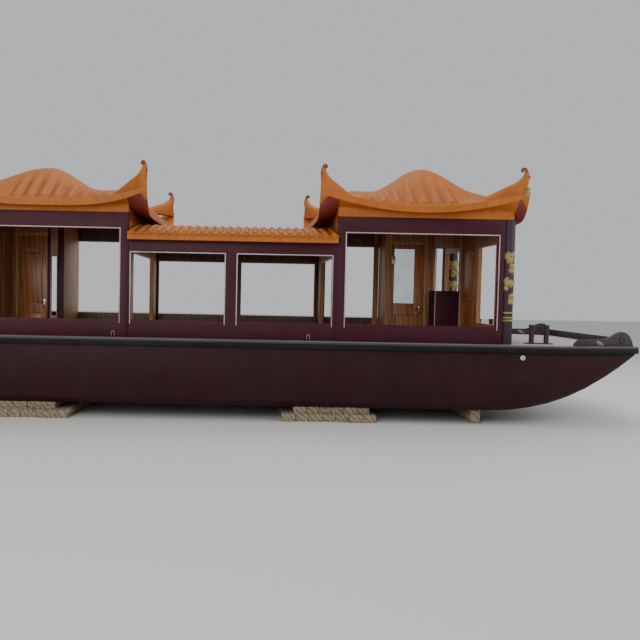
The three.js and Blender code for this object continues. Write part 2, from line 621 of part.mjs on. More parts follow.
// Timber bearers under the flat bottom: ends along the boat, half width, layers from the floor up
const LOWER = [0, 95];
const UPPER = [LOWER[1] + SEAT, DATUM + BOTTOM_Z - SEAT];
const BEARERS = [
  { name: "bearer_aft_lower", x: [-2950, -2040], half: 1500, z: LOWER },
  { name: "bearer_aft_upper", x: [-2950, -2240], half: 1380, z: UPPER },
  { name: "bearer_mid_lower", x: [665, 1870], half: 1420, z: LOWER },
  { name: "bearer_mid_upper", x: [815, 1790], half: 1360, z: UPPER },
  { name: "bearer_fore", x: [3110, 3230], half: 1290, z: [LOWER[0], UPPER[1]] },
];
for (const { name, x, half, z } of BEARERS) {
  piece(name, box(x, [-half, half], z), "timber", [0, 0, -DATUM]);
}

export default root;
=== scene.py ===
import json
import math
import random

import bmesh
import bpy
from mathutils import Matrix, Vector


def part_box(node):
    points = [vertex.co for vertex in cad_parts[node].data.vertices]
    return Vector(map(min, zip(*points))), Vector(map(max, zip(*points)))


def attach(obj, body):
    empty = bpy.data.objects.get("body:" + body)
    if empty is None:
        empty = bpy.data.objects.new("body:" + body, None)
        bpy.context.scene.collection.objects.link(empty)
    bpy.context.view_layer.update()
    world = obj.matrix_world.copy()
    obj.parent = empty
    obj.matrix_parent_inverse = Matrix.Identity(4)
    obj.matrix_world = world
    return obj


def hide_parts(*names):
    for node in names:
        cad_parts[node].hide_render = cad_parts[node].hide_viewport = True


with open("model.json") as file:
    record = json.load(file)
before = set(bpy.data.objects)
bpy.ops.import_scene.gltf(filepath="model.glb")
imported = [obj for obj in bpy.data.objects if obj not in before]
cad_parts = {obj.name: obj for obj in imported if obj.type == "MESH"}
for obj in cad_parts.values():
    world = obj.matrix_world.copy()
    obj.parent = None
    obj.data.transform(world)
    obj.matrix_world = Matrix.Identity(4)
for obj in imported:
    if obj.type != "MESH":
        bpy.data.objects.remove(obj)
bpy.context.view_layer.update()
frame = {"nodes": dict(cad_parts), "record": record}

# Camera: at standing eye height beside the boat, square on to its starboard side. It looks a little
# down and is held slightly crooked, as a hand-held camera is.
FOCAL_LENGTH = 38.2
LOOK_DOWN = 2.36
CROOKED = -1.15
camera_data = bpy.data.cameras.new("camera")
camera_data.lens = FOCAL_LENGTH
camera_data.shift_x = 0.103
camera = bpy.data.objects.new("camera", camera_data)
camera.location = (0.28, -10.0, 1.64)
camera.rotation_euler = (math.radians(90 - LOOK_DOWN), math.radians(CROOKED), 0)
bpy.context.collection.objects.link(camera)
bpy.context.scene.camera = camera


# Studio: a pale floor under the bearers, an even sky and large soft lights.
def add(tree, kind, inputs=None, **settings):
    """Adds a node; each input is a number, a colour or another node's output."""
    made = tree.nodes.new(kind)
    for key, value in settings.items():
        setattr(made, key, value)
    for key, value in (inputs or {}).items():
        if isinstance(value, bpy.types.NodeSocket):
            tree.links.new(value, made.inputs[key])
        else:
            made.inputs[key].default_value = value
    return made


def srgb(red, green, blue):
    """A colour given as 0 to 255, as the linear colour that shaders take."""
    linear = [((c / 255 + 0.055) / 1.055) ** 2.4 if c > 10 else c / 3295 for c in (red, green, blue)]
    return (*linear, 1)


FLOOR_HALF = 40.0
floor_form = bmesh.new()
bmesh.ops.create_grid(floor_form, x_segments=2, y_segments=2, size=FLOOR_HALF)
floor_mesh = bpy.data.meshes.new("studio_floor")
floor_form.to_mesh(floor_mesh)
floor_form.free()
floor = bpy.data.objects.new("studio_floor", floor_mesh)
bpy.context.collection.objects.link(floor)
floor_paint = bpy.data.materials.new("studio_floor")
floor_paint.use_nodes = True
floor_shader = floor_paint.node_tree.nodes["Principled BSDF"]
floor_shader.inputs["Base Color"].default_value = srgb(206, 204, 200)
floor_shader.inputs["Roughness"].default_value = 0.75
floor_mesh.materials.append(floor_paint)

world = bpy.data.worlds.new("studio")
bpy.context.scene.world = world
world.use_nodes = True
sky = world.node_tree.nodes["Background"]
sky.inputs["Color"].default_value = srgb(232, 236, 240)
sky.inputs["Strength"].default_value = 0.7
LIGHTS = (
    ("light_front", (-5, -14, 6), (0.5, 0, 1.3), 8.0, 960),
    ("light_side", (13, -5, 7), (2.5, 0, 1.5), 6.0, 700),
    ("light_top", (0, 1, 11), (0, 0, 1), 8.0, 480),
    ("light_back", (2, 13, 6), (0, 0, 1.5), 8.0, 700),
)
for name, place, aim, size, power in LIGHTS:
    light_data = bpy.data.lights.new(name, "AREA")
    light_data.size = size
    light_data.energy = power
    light = bpy.data.objects.new(name, light_data)
    light.visible_transmission = False
    light.visible_glossy = name != "light_back"
    light.location = place
    light.rotation_euler = (Vector(aim) - Vector(place)).to_track_quat("-Z", "Y").to_euler()
    bpy.context.collection.objects.link(light)


# Hull: a flat-bottomed shell of painted plate, welded in strakes about 1.2 m long. Its satin
# maroon-brown paint carries the workshop's dust, and the plate joints show as faint upright lines.
def new_group(name, inputs, outputs):
    """Starts a shader node group and returns its tree, its inputs and its output node."""
    tree = bpy.data.node_groups.new(name, "ShaderNodeTree")
    for side, sockets in (("INPUT", inputs), ("OUTPUT", outputs)):
        for label, kind in sockets:
            tree.interface.new_socket(label, in_out=side, socket_type=kind)
    entry = tree.nodes.new("NodeGroupInput")
    leave = tree.nodes.new("NodeGroupOutput")
    return tree, entry.outputs, leave.inputs


def blend(tree, share, first, second, kind="MIX"):
    mix = add(
        tree, "ShaderNodeMix", {0: share, 6: first, 7: second}, data_type="RGBA", blend_type=kind
    )
    return mix.outputs[2]


def remap(tree, value, low, high, to_low=0.0, to_high=1.0):
    inputs = {"Value": value, "From Min": low, "From Max": high, "To Min": to_low, "To Max": to_high}
    return add(tree, "ShaderNodeMapRange", inputs).outputs["Result"]


def noise(tree, vector, scale, detail=3.0, roughness=0.55, distortion=0.0):
    inputs = {
        "Vector": vector,
        "Scale": scale,
        "Detail": detail,
        "Roughness": roughness,
        "Distortion": distortion,
    }
    return add(tree, "ShaderNodeTexNoise", inputs).outputs["Fac"]


def stretch(tree, vector, scale):
    return add(tree, "ShaderNodeMapping", {"Vector": vector, "Scale": scale}).outputs["Vector"]


COLOUR, NUMBER, VECTOR = "NodeSocketColor", "NodeSocketFloat", "NodeSocketVector"

# Dust settles on what faces up and thins out on what stands upright
dust_tree, dust_in, dust_out = new_group(
    "settled_dust",
    [("Vector", VECTOR), ("Color", COLOUR), ("Dust Color", COLOUR), ("Amount", NUMBER)],
    [("Color", COLOUR), ("Dust", NUMBER)],
)
facing = add(dust_tree, "ShaderNodeNewGeometry").outputs["Normal"]
upward = add(dust_tree, "ShaderNodeSeparateXYZ", {0: facing}).outputs["Z"]
lying = remap(dust_tree, upward, 0.25, 0.95, 0.10, 1.0)
patches = remap(dust_tree, noise(dust_tree, dust_in["Vector"], 2.6, 6.0, 0.65), 0.35, 0.68)
dust_share = add(dust_tree, "ShaderNodeMath", {0: lying, 1: patches}, operation="MULTIPLY").outputs[0]
dust_share = add(
    dust_tree, "ShaderNodeMath", {0: dust_share, 1: dust_in["Amount"]}, operation="MULTIPLY"
).outputs[0]
dusty = blend(dust_tree, dust_share, dust_in["Color"], dust_in["Dust Color"])
dust_tree.links.new(dusty, dust_out["Color"])
dust_tree.links.new(dust_share, dust_out["Dust"])

# Brushed or sprayed paint: a slow change of tone, upright runs and a fine orange-peel surface
paint_tree, paint_in, paint_out = new_group(
    "paint_film",
    [("Vector", VECTOR), ("Color", COLOUR), ("Shade Color", COLOUR), ("Mottle", NUMBER)],
    [("Color", COLOUR), ("Height", NUMBER)],
)
cloudy = noise(paint_tree, paint_in["Vector"], 1.3, 4.0)
runs = noise(paint_tree, stretch(paint_tree, paint_in["Vector"], (7, 7, 0.7)), 1.6, 5.0, 0.6)
uneven = remap(
    paint_tree,
    add(paint_tree, "ShaderNodeMath", {0: cloudy, 1: runs}, operation="ADD").outputs[0],
    0.75,
    1.3,
)
uneven = add(paint_tree, "ShaderNodeMath", {0: uneven, 1: paint_in["Mottle"]}, operation="MULTIPLY")
toned = blend(paint_tree, uneven.outputs[0], paint_in["Color"], paint_in["Shade Color"])
paint_tree.links.new(toned, paint_out["Color"])
peel = noise(paint_tree, paint_in["Vector"], 160.0, 2.0)
waves = noise(paint_tree, paint_in["Vector"], 9.0, 2.0)
height = add(paint_tree, "ShaderNodeMath", {0: waves, 1: 6.0, 2: peel}, operation="MULTIPLY_ADD")
paint_tree.links.new(height.outputs[0], paint_out["Height"])


def new_material(name, **sockets):
    """A material with its own shader; sockets are the shader's constant values."""
    material = bpy.data.materials.new(name)
    material.use_nodes = True
    tree = material.node_tree
    shader = tree.nodes["Principled BSDF"]
    for label, value in sockets.items():
        shader.inputs[label.replace("_", " ")].default_value = value
    where = add(tree, "ShaderNodeTexCoord").outputs["Object"]
    return material, tree, shader, where


def set_surface(tree, shader, colour, roughness, height, bump):
    tree.links.new(colour, shader.inputs["Base Color"])
    tree.links.new(roughness, shader.inputs["Roughness"])
    normal = add(tree, "ShaderNodeBump", {"Height": height, "Distance": bump, "Strength": 0.6})
    tree.links.new(normal.outputs["Normal"], shader.inputs["Normal"])


DUST = srgb(190, 180, 168)


def group_node(tree, name, inputs):
    made = tree.nodes.new("ShaderNodeGroup")
    made.node_tree = bpy.data.node_groups[name]
    for key, value in inputs.items():
        if isinstance(value, bpy.types.NodeSocket):
            tree.links.new(value, made.inputs[key])
        else:
            made.inputs[key].default_value = value
    return made.outputs


def painted(name, colour, shade, roughness=0.45, mottle=0.5, dust=0.3, bump=0.0006, **sockets):
    """Painted metal, board or moulding, with its dust."""
    material, tree, shader, where = new_material(name, **sockets)
    film = group_node(
        tree, "paint_film", {"Vector": where, "Color": colour, "Shade Color": shade, "Mottle": mottle}
    )
    dusted = group_node(
        tree,
        "settled_dust",
        {"Vector": where, "Color": film["Color"], "Dust Color": DUST, "Amount": dust},
    )
    dull = remap(tree, dusted["Dust"], 0.0, 0.6, roughness, 0.85)
    set_surface(tree, shader, dusted["Color"], dull, film["Height"], bump)
    return material


# The boat's own heights are measured from a datum level a little above the floor
DATUM = 0.100


def make(name, form, materials, body="boat", slot=None, crease=30, lift=DATUM):
    """Turns a bmesh into a finished piece that rides on a body; lift is its datum's height."""
    bmesh.ops.translate(form, verts=form.verts, vec=(0, 0, lift))
    mesh = bpy.data.meshes.new(name)
    form.to_mesh(mesh)
    form.free()
    mesh.shade_smooth()
    mesh.set_sharp_from_angle(angle=math.radians(crease))
    for material in materials:
        mesh.materials.append(material)
    thing = bpy.data.objects.new(name, mesh)
    bpy.context.collection.objects.link(thing)
    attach(thing, body)
    return thing


BODY_OF = {
    node: body
    for body, nodes in frame["record"]["behaviour"]["bodies"].items()
    for node in nodes
}
SLOT_OF = {row["node"]: row["material_slot"] for row in frame["record"]["subparts"]}


def merged_copy(node):
    form = bmesh.new()
    form.from_mesh(frame["nodes"][node].data)
    bmesh.ops.remove_doubles(form, verts=form.verts, dist=1e-5)
    bmesh.ops.dissolve_limit(
        form, angle_limit=math.radians(0.5), verts=form.verts, edges=form.edges
    )
    return form


def round_edges(form, edge, sharper_than=35, segments=2):
    sharp = [
        e
        for e in form.edges
        if e.is_manifold and e.calc_face_angle() > math.radians(sharper_than)
    ]
    bmesh.ops.bevel(
        form,
        geom=sharp,
        offset=edge,
        segments=segments,
        affect="EDGES",
        profile=0.5,
        material=-1,
        clamp_overlap=True,
    )


def dress(node, materials, edge, choose=None, crease=30):
    """Shows a node with its edges rounded off; choose(face) gives a face's material number."""
    form = merged_copy(node)
    round_edges(form, edge)
    if choose:
        for face in form.faces:
            face.material_index = choose(face)
    piece = make(f"{node}_finished", form, materials, BODY_OF[node], SLOT_OF[node], crease, lift=0)
    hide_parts(node)


STRAKE = 1.22
hull_paint, hull_tree, hull_shader, hull_where = new_material(
    "hull_paint", Specular_IOR_Level=0.12
)
hull_film = group_node(
    hull_tree,
    "paint_film",
    {
        "Vector": hull_where,
        "Color": srgb(47, 20, 24),
        "Shade Color": srgb(36, 16, 20),
        "Mottle": 0.7,
    },
)
hull_axis = add(hull_tree, "ShaderNodeSeparateXYZ", {0: hull_where}).outputs
strake = add(hull_tree, "ShaderNodeMath", {0: hull_axis["X"], 1: STRAKE}, operation="DIVIDE")
strake = add(hull_tree, "ShaderNodeMath", {0: strake.outputs[0]}, operation="FRACT")
off_joint = add(hull_tree, "ShaderNodeMath", {0: strake.outputs[0], 1: 0.5}, operation="SUBTRACT")
off_joint = add(hull_tree, "ShaderNodeMath", {0: off_joint.outputs[0]}, operation="ABSOLUTE")
joint_line = remap(hull_tree, off_joint.outputs[0], 0.0, 0.006, 1.0, 0.0)
hull_lined = blend(
    hull_tree,
    add(hull_tree, "ShaderNodeMath", {0: joint_line, 1: 0.2}, operation="MULTIPLY").outputs[0],
    hull_film["Color"],
    srgb(64, 38, 42),
)
hull_dusted = group_node(
    hull_tree,
    "settled_dust",
    {"Vector": hull_where, "Color": hull_lined, "Dust Color": DUST, "Amount": 0.1},
)
hull_height = add(
    hull_tree, "ShaderNodeMath", {0: joint_line, 1: 2.0, 2: hull_film["Height"]}, operation="MULTIPLY_ADD"
)
set_surface(
    hull_tree,
    hull_shader,
    hull_dusted["Color"],
    remap(hull_tree, hull_dusted["Dust"], 0.0, 0.6, 0.5, 0.8),
    hull_height.outputs[0],
    0.0009,
)
dress("hull", [hull_paint], 0.014, crease=40)


# A flanged white pipe outlet high on each side of the hull, near the fore cabin's end.
def ring(form, matrix, profile, steps=24):
    """Spins a closed profile of (radius, height) round the matrix's own Z axis."""
    corners = [form.verts.new(matrix @ Vector((r, 0, z))) for r, z in profile]
    edges = [form.edges.new((a, b)) for a, b in zip(corners, corners[1:] + corners[:1])]
    bmesh.ops.spin(
        form,
        geom=corners + edges,
        cent=matrix.to_translation(),
        axis=matrix.to_3x3() @ Vector((0, 0, 1)),
        angle=2 * math.pi,
        steps=steps,
        use_merge=True,
    )


white_fitting = painted("white_fitting", srgb(214, 212, 208), srgb(180, 176, 170), 0.35, dust=0.1)
OUTLET = Vector((3.68, 1.4744, 0.777))
OUTLET_PROFILE = (
    (0.012, 0.0),
    (0.030, 0.0),
    (0.030, 0.004),
    (0.024, 0.008),
    (0.017, 0.016),
    (0.012, 0.016),
)
form = bmesh.new()
for side in (-1, 1):
    outward = Matrix.Rotation(math.radians(90) * side * -1, 4, "X")
    place = Matrix.Translation((OUTLET.x, side * OUTLET.y, OUTLET.z)) @ outward
    ring(form, place, OUTLET_PROFILE)
bmesh.ops.recalc_face_normals(form, faces=form.faces)
make("hull_outlets", form, [white_fitting], slot="strip_paint")

# Rub rail and gunwale capping: a dark rubber fender strip under a painted steel ledge, which is light
# grey on top, partly as a painted highlight, and darker along its upright edge as painted shade.
rail_rubber = painted(
    "rail_rubber", srgb(15, 17, 17), srgb(24, 26, 26), 0.65, 0.7, 0.1, 0.001, Specular_IOR_Level=0.15
)
strip_paint = painted("strip_paint", srgb(112, 106, 110), srgb(84, 78, 82), 0.55, 0.6, 0.25)
# The capping's upright faces are painted darker as painted shade, its top light grey with a painted
# highlight
capping_edge_shade = painted("capping_edge_shade", srgb(52, 50, 52), srgb(38, 36, 38), 0.6, 0.6, 0.1)
dress("rub_rail", [rail_rubber], 0.012)
dress(
    "gunwale_capping", [strip_paint, capping_edge_shade], 0.006, choose=lambda f: int(f.normal.z < 0.5)
)

# Decks: sheet steel with a matt grey-mauve non-slip paint, and the bitts welded on at the corners.
deck_paint, deck_tree, deck_shader, deck_where = new_material("deck_paint")
deck_film = group_node(
    deck_tree,
    "paint_film",
    {
        "Vector": deck_where,
        "Color": srgb(170, 155, 161),
        "Shade Color": srgb(144, 129, 134),
        "Mottle": 0.8,
    },
)
deck_dusted = group_node(
    deck_tree,
    "settled_dust",
    {"Vector": deck_where, "Color": deck_film["Color"], "Dust Color": DUST, "Amount": 0.5},
)
grit = noise(deck_tree, deck_where, 420.0, 2.0)
set_surface(
    deck_tree,
    deck_shader,
    deck_dusted["Color"],
    remap(deck_tree, deck_dusted["Dust"], 0.0, 0.6, 0.7, 0.9),
    grit,
    0.0015,
)
for node in ("foredeck", "aft_deck"):
    dress(node, [deck_paint], 0.004)
plum_lacquer = painted(
    "plum_lacquer", srgb(56, 42, 52), srgb(42, 30, 40), 0.55, 0.6, 0.2, Specular_IOR_Level=0.25
)
for end in ("bow", "stern"):
    for side in ("stbd", "port"):
        dress(f"{end}_bitts_{side}", [plum_lacquer], 0.004)

# Cabin walls: smooth maroon panels outside and varnished wood inside, with the window openings cut
# clean through. Thin off-white beads edge each opening at the top and down both sides.
def grained(name, light, dark, grain, roughness=0.4, dust=0.15, coat=0.3):
    """Varnished wood; grain is the stretch of its figure along X, Y and Z."""
    material, tree, shader, where = new_material(name, Coat_Weight=coat, Coat_Roughness=0.2)
    figure = group_node(
        tree,
        "wood_figure",
        {"Vector": stretch(tree, where, grain), "Light Color": light, "Dark Color": dark},
    )
    dusted = group_node(
        tree,
        "settled_dust",
        {"Vector": where, "Color": figure["Color"], "Dust Color": DUST, "Amount": dust},
    )
    dull = remap(tree, dusted["Dust"], 0.0, 0.6, roughness, 0.85)
    set_surface(tree, shader, dusted["Color"], dull, figure["Height"], 0.0006)
    return material


wood_tree, wood_in, wood_out = new_group(
    "wood_figure",
    [("Vector", VECTOR), ("Light Color", COLOUR), ("Dark Color", COLOUR)],
    [("Color", COLOUR), ("Height", NUMBER)],
)
bands = add(
    wood_tree,
    "ShaderNodeTexWave",
    {"Vector": wood_in["Vector"], "Scale": 0.9, "Distortion": 7.0, "Detail": 3.0, "Detail Scale": 1.4},
    wave_type="BANDS",
    bands_direction="DIAGONAL",
).outputs["Fac"]
fibre = noise(wood_tree, wood_in["Vector"], 14.0, 6.0, 0.7)
figure = add(wood_tree, "ShaderNodeMath", {0: fibre, 1: 0.9, 2: bands}, operation="MULTIPLY_ADD")
figure_share = remap(wood_tree, figure.outputs[0], 0.35, 1.45)
wood_tree.links.new(
    blend(wood_tree, figure_share, wood_in["Light Color"], wood_in["Dark Color"]), wood_out["Color"]
)
wood_tree.links.new(fibre, wood_out["Height"])

UPRIGHT, ALONG, ATHWART = (9.0, 9.0, 0.8), (0.8, 9.0, 9.0), (9.0, 0.8, 9.0)
maroon_paint = painted(
    "maroon_paint", srgb(64, 17, 30), srgb(46, 13, 24), 0.5, 0.6, 0.1, Specular_IOR_Level=0.18
)
cabin_wood = grained("cabin_wood", srgb(148, 101, 60), srgb(124, 82, 46), UPRIGHT, 0.5, coat=0.08)
light_wood = grained("light_wood", srgb(178, 130, 80), srgb(146, 102, 60), UPRIGHT, 0.5, coat=0.08)
lining_wood = grained("lining_wood", srgb(98, 64, 40), srgb(72, 44, 26), UPRIGHT, 0.55, coat=0.05)
INNER_FACE = 1.241
for cabin in ("aft", "mid", "fore"):
    for side, sign in (("stbd", -1), ("port", 1)):
        dress(
            f"{cabin}_wall_{side}",
            [maroon_paint, lining_wood],
            0.003,
            choose=lambda f, s=sign: int(
                s * f.normal.y < -0.5 and abs(f.calc_center_median().y) < INNER_FACE
            ),
        )


def block(form, low, high, edge=0.0, segments=2):
    """Adds a board between two corners, its edges rounded."""
    low, high = Vector(low), Vector(high)
    place = Matrix.Translation((low + high) / 2) @ Matrix.Diagonal((*(high - low), 1))
    made = bmesh.ops.create_cube(form, size=1, matrix=place)
    if edge:
        edges = list({e for v in made["verts"] for e in v.link_edges})
        bmesh.ops.bevel(
            form,
            geom=edges,
            offset=edge,
            segments=segments,
            affect="EDGES",
            profile=0.5,
            material=-1,
        )


WALL_FACE, WALL_INNER = 1.300, 1.240
SILL = 1.152
WINDOWS = (
    (-3.395, -1.450, 2.316),
    (-1.302, -0.103, 2.017),
    (0.063, 1.272, 2.017),
    (1.450, 3.395, 2.316),
)
BEAD = {"wide": 0.014, "thick": 0.006, "below": 0.045}
bead_white = painted("bead_white", srgb(188, 168, 170), srgb(140, 112, 118), 0.5, 0.9, 0.2)
form = bmesh.new()
for side in (-1, 1):
    y = sorted((side * WALL_FACE, side * (WALL_FACE + BEAD["thick"])))
    for start, end, top in WINDOWS:
        wide = BEAD["wide"]
        block(form, (start - wide, y[0], top), (end + wide, y[1], top + wide), 0.002)
        for post in (start - wide, end):
            block(form, (post, y[0], SILL - BEAD["below"]), (post + wide, y[1], top), 0.002)
make("window_beads", form, [bead_white], slot="strip_paint")


# Small steel staples for lashings, welded to the wall just above the gunwale.
def sweep(form, points, radii, resolution=3, order=3):
    """Adds a smooth tube through the points, as thick as its radii say."""
    path = bpy.data.curves.new("sweep", "CURVE")
    path.dimensions = "3D"
    path.bevel_depth = 1.0
    path.bevel_resolution = resolution
    path.use_fill_caps = True
    path.resolution_u = 5
    spline = path.splines.new("NURBS")
    spline.points.add(len(points) - 1)
    for point, place, radius in zip(spline.points, points, radii):
        point.co = (*place, 1)
        point.radius = radius
    spline.use_endpoint_u = True
    spline.order_u = order
    holder = bpy.data.objects.new("sweep", path)
    bpy.context.collection.objects.link(holder)
    evaluated = holder.evaluated_get(bpy.context.evaluated_depsgraph_get())
    mesh = bpy.data.meshes.new_from_object(evaluated)
    form.from_mesh(mesh)
    bpy.data.objects.remove(holder)
    bpy.data.curves.remove(path)
    bpy.data.meshes.remove(mesh)


staple_steel = painted("staple_steel", srgb(150, 140, 140), srgb(100, 88, 88), 0.4, Metallic=0.6)
STAPLES = (-1.52, 0.985)
STAPLE = {"half": 0.019, "foot": 0.940, "top": 1.000, "radius": 0.005, "stand": 0.018}
form = bmesh.new()
for side in (-1, 1):
    for x in STAPLES:
        y = side * (WALL_FACE + STAPLE["stand"])
        inside = side * (WALL_FACE + 0.001)
        half, foot, top = STAPLE["half"], STAPLE["foot"], STAPLE["top"]
        arch = [
            (x - half, inside, foot),
            (x - half, y, foot),
            (x - half, y, top - half),
            (x - half, y, top),
            (x, y, top + half * 0.4),
            (x + half, y, top),
            (x + half, y, top - half),
            (x + half, y, foot),
            (x + half, inside, foot),
        ]
        sweep(form, arch, [STAPLE["radius"]] * len(arch))
make("wall_staples", form, [staple_steel], slot="rudder_steel")

# Columns: turned posts in near-black plum lacquer. Dull gilt clouds with scrolls on them are carved
# up the middle of each, between a plain upper part and a pair of gilt rings.
gilt, gilt_tree, gilt_shader, gilt_where = new_material(
    "gilt_relief", Metallic=0.1, Specular_IOR_Level=0.3
)
leaf_wear = remap(gilt_tree, noise(gilt_tree, gilt_where, 22.0, 5.0, 0.7), 0.45, 0.72)
gilt_colour = blend(gilt_tree, leaf_wear, srgb(158, 140, 84), srgb(104, 86, 52))
gilt_bump = noise(gilt_tree, gilt_where, 60.0, 4.0)
set_surface(
    gilt_tree, gilt_shader, gilt_colour, remap(gilt_tree, leaf_wear, 0, 1, 0.5, 0.75), gilt_bump, 0.003
)
COLUMN = {"x": 3.547, "y": 1.222, "radius": 0.076}
SCROLLS = (
    # height, turn round the post in degrees, size, hand
    (2.066, -30, 0.054, 1),
    (2.058, 26, 0.060, -1),
    (2.010, -4, 0.050, 1),
    (1.925, 26, 0.048, 1),
    (1.880, 14, 0.040, -1),
    (1.735, -34, 0.060, -1),
    (1.716, 8, 0.054, 1),
    (1.650, -36, 0.036, 1),
    (1.540, 30, 0.052, -1),
    (1.486, 22, 0.046, 1),
)
RINGS = (1.338, 1.275, 1.238)


def scroll(form, size, hand, thick, place):
    """One carved volute; place(aside, up, out) gives the spot on the face that carries it."""
    points, radii = [], []
    steps = 16
    for i in range(steps + 1):
        along = i / steps
        reach = size * (1 - 0.86 * along)
        angle = hand * (2.6 * math.pi * along) + math.pi / 2
        aside = reach * math.cos(angle) * hand + 0.35 * size * (1 - along)
        points.append(place(aside, reach * math.sin(angle), 0))
        radii.append(thick * (0.4 + 0.6 * math.sin(math.pi * min(1, along * 1.25 + 0.08))))
    sweep(form, points, radii, resolution=1)


CLOUD = {"lobes": 5, "wave": 0.10, "rows": (1.0, 0.92, 0.7, 0.38), "sides": 30}


def cloud(form, size, thick, place, sunk=0.004):
    """A low domed cloud with a lobed outline, its foot sunk into the face that carries it."""
    loops = []
    for share in CLOUD["rows"]:
        out = (thick + sunk) * math.sqrt(1 - share**2) - sunk
        loop = []
        for k in range(CLOUD["sides"]):
            angle = 2 * math.pi * k / CLOUD["sides"]
            reach = size * share * (1 + CLOUD["wave"] * math.cos(CLOUD["lobes"] * angle))
            spot = place(reach * math.cos(angle), reach * math.sin(angle), out)
            loop.append(form.verts.new(spot))
        loops.append(loop)
    for outer, inner in zip(loops, loops[1:]):
        for k in range(CLOUD["sides"]):
            after = (k + 1) % CLOUD["sides"]
            form.faces.new((outer[k], outer[after], inner[after], inner[k]))
    form.faces.new(loops[0])
    form.faces.new(loops[-1])


def on_post(centre, radius, height, turn):
    """Places carving on a post's round face, turn radians round it."""

    def place(aside, up, out):
        around = turn + aside / radius
        reach = radius + out
        return centre[0] + reach * math.sin(around), centre[1] - reach * math.cos(around), height + up

    return place


# How far the carving stands out, and the turns at which it is repeated round a post
CARVING = {"scroll": 0.011, "cloud": 0.014}
CARVED_SIDES = (0, 145, -145)

for end, end_sign in (("fore", 1), ("aft", -1)):
    for side, side_sign in (("stbd", -1), ("port", 1)):
        dress(f"{end}_column_{side}", [plum_lacquer], 0.003)
        form = bmesh.new()
        centre = (end_sign * COLUMN["x"], side_sign * COLUMN["y"])
        outward = 0 if side_sign < 0 else math.pi
        for height, turn, size, hand in SCROLLS:
            for back in CARVED_SIDES:
                around = outward + math.radians(turn * end_sign + back)
                cloud(form, size, CARVING["cloud"], on_post(centre, COLUMN["radius"], height, around))
                on_cloud = on_post(centre, COLUMN["radius"] + 0.004, height, around)
                scroll(form, size * 0.8, hand * end_sign, CARVING["scroll"], on_cloud)
        for height in RINGS:
            place = Matrix.Translation((*centre, height))
            bulge = COLUMN["radius"]
            profile = (
                (bulge - 0.004, -0.013),
                (bulge + 0.003, -0.011),
                (bulge + 0.007, 0.0),
                (bulge + 0.003, 0.011),
                (bulge - 0.004, 0.013),
            )
            ring(form, place, profile, 32)
        bmesh.ops.recalc_face_normals(form, faces=form.faces)
        make(f"{end}_column_relief_{side}", form, [gilt], slot="bronze", crease=60)

# High roofs: one moulded shell each, ochre-orange gelcoat outside and dark red paint underneath. It
# humps up like a helmet, its eave sweeps up to a horn at each corner, and half-round tile rolls run
# down the middle of all four slopes to a smooth band along the eave.
ochre_gelcoat, ochre_tree, ochre_shader, ochre_where = new_material(
    "ochre_gelcoat", Specular_IOR_Level=0.18
)
ochre_film = group_node(
    ochre_tree,
    "paint_film",
    {
        "Vector": ochre_where,
        "Color": srgb(176, 101, 38),
        "Shade Color": srgb(152, 82, 28),
        "Mottle": 0.8,
    },
)
# The groove value paints the pans between the tile rolls darker near the eave as painted shade, and
# darkens the horns' curls and fins
groove = add(ochre_tree, "ShaderNodeAttribute", attribute_name="groove").outputs["Fac"]
ochre_groove_shaded = blend(
    ochre_tree,
    add(ochre_tree, "ShaderNodeMath", {0: groove, 1: 0.85}, operation="MULTIPLY").outputs[0],
    ochre_film["Color"],
    srgb(98, 50, 20),
)
ochre_dusted = group_node(
    ochre_tree,
    "settled_dust",
    {
        "Vector": ochre_where,
        "Color": ochre_groove_shaded,
        "Dust Color": srgb(162, 112, 66),
        "Amount": 0.2,
    },
)
set_surface(
    ochre_tree,
    ochre_shader,
    ochre_dusted["Color"],
    remap(ochre_tree, ochre_dusted["Dust"], 0.0, 0.6, 0.5, 0.8),
    ochre_film["Height"],
    0.0008,
)
soffit_red = painted("soffit_red", srgb(122, 40, 26), srgb(92, 30, 22), 0.5, 0.7, 0.1)

ROOF_CENTRE = 2.395
EAVE = {"x": 1.310, "y": 1.450, "mid": 2.578, "end_mid": 2.485, "lift": 0.215}
EAVE_BAND = {"mid": 0.085, "end": 0.045}
SLOPE = {"side": 0.850, "end": 0.560}
# The two hand-made roofs differ: crest height beside the hump, the hump's height, middle and half
# widths, how sharply the long eaves sweep up, and how far up from the eave the grooves carry
# painted shade, as a share of the slope. Their x runs outwards from midships.
SHAPES = {
    "fore": {
        "valley": 2.945,
        "hump": 0.315,
        "centre": 0.125,
        "inner": 0.700,
        "outer": 0.800,
        "sweep": 2.0,
        "shade_reach": 0.5,
    },
    "aft": {
        "valley": 2.890,
        "hump": 0.290,
        "centre": 0.125,
        "inner": 0.700,
        "outer": 1.150,
        "sweep": 3.2,
        "shade_reach": 1.8,
    },
}
ROLL = {"pitch": 0.168, "rise": 0.040, "pan": 0.3, "start": 0.05, "fade": 0.42, "end": 0.72}
SIDE_ROLLS = {"centre": -0.145, "count": 7}
END_ROLLS = {"centre": 0.0, "count": 6}


def eave_z(x, y, sweep):
    u = abs(x) / EAVE["x"]
    inwards = (abs(y) / EAVE["y"]) ** (2 + 12 * u**6)
    sag = (EAVE["mid"] - EAVE["end_mid"]) * u**4 * (1 - inwards)
    return EAVE["mid"] - sag + EAVE["lift"] * u**sweep * inwards


def band_at(x):
    return EAVE_BAND["mid"] - (EAVE_BAND["mid"] - EAVE_BAND["end"]) * (abs(x) / EAVE["x"]) ** 8


def crest_z(x, shape):
    reach = shape["inner"] if x < shape["centre"] else shape["outer"]
    share = min(1, abs(x - shape["centre"]) / reach)
    return shape["valley"] + shape["hump"] * math.cos(math.pi * share / 2) ** 2


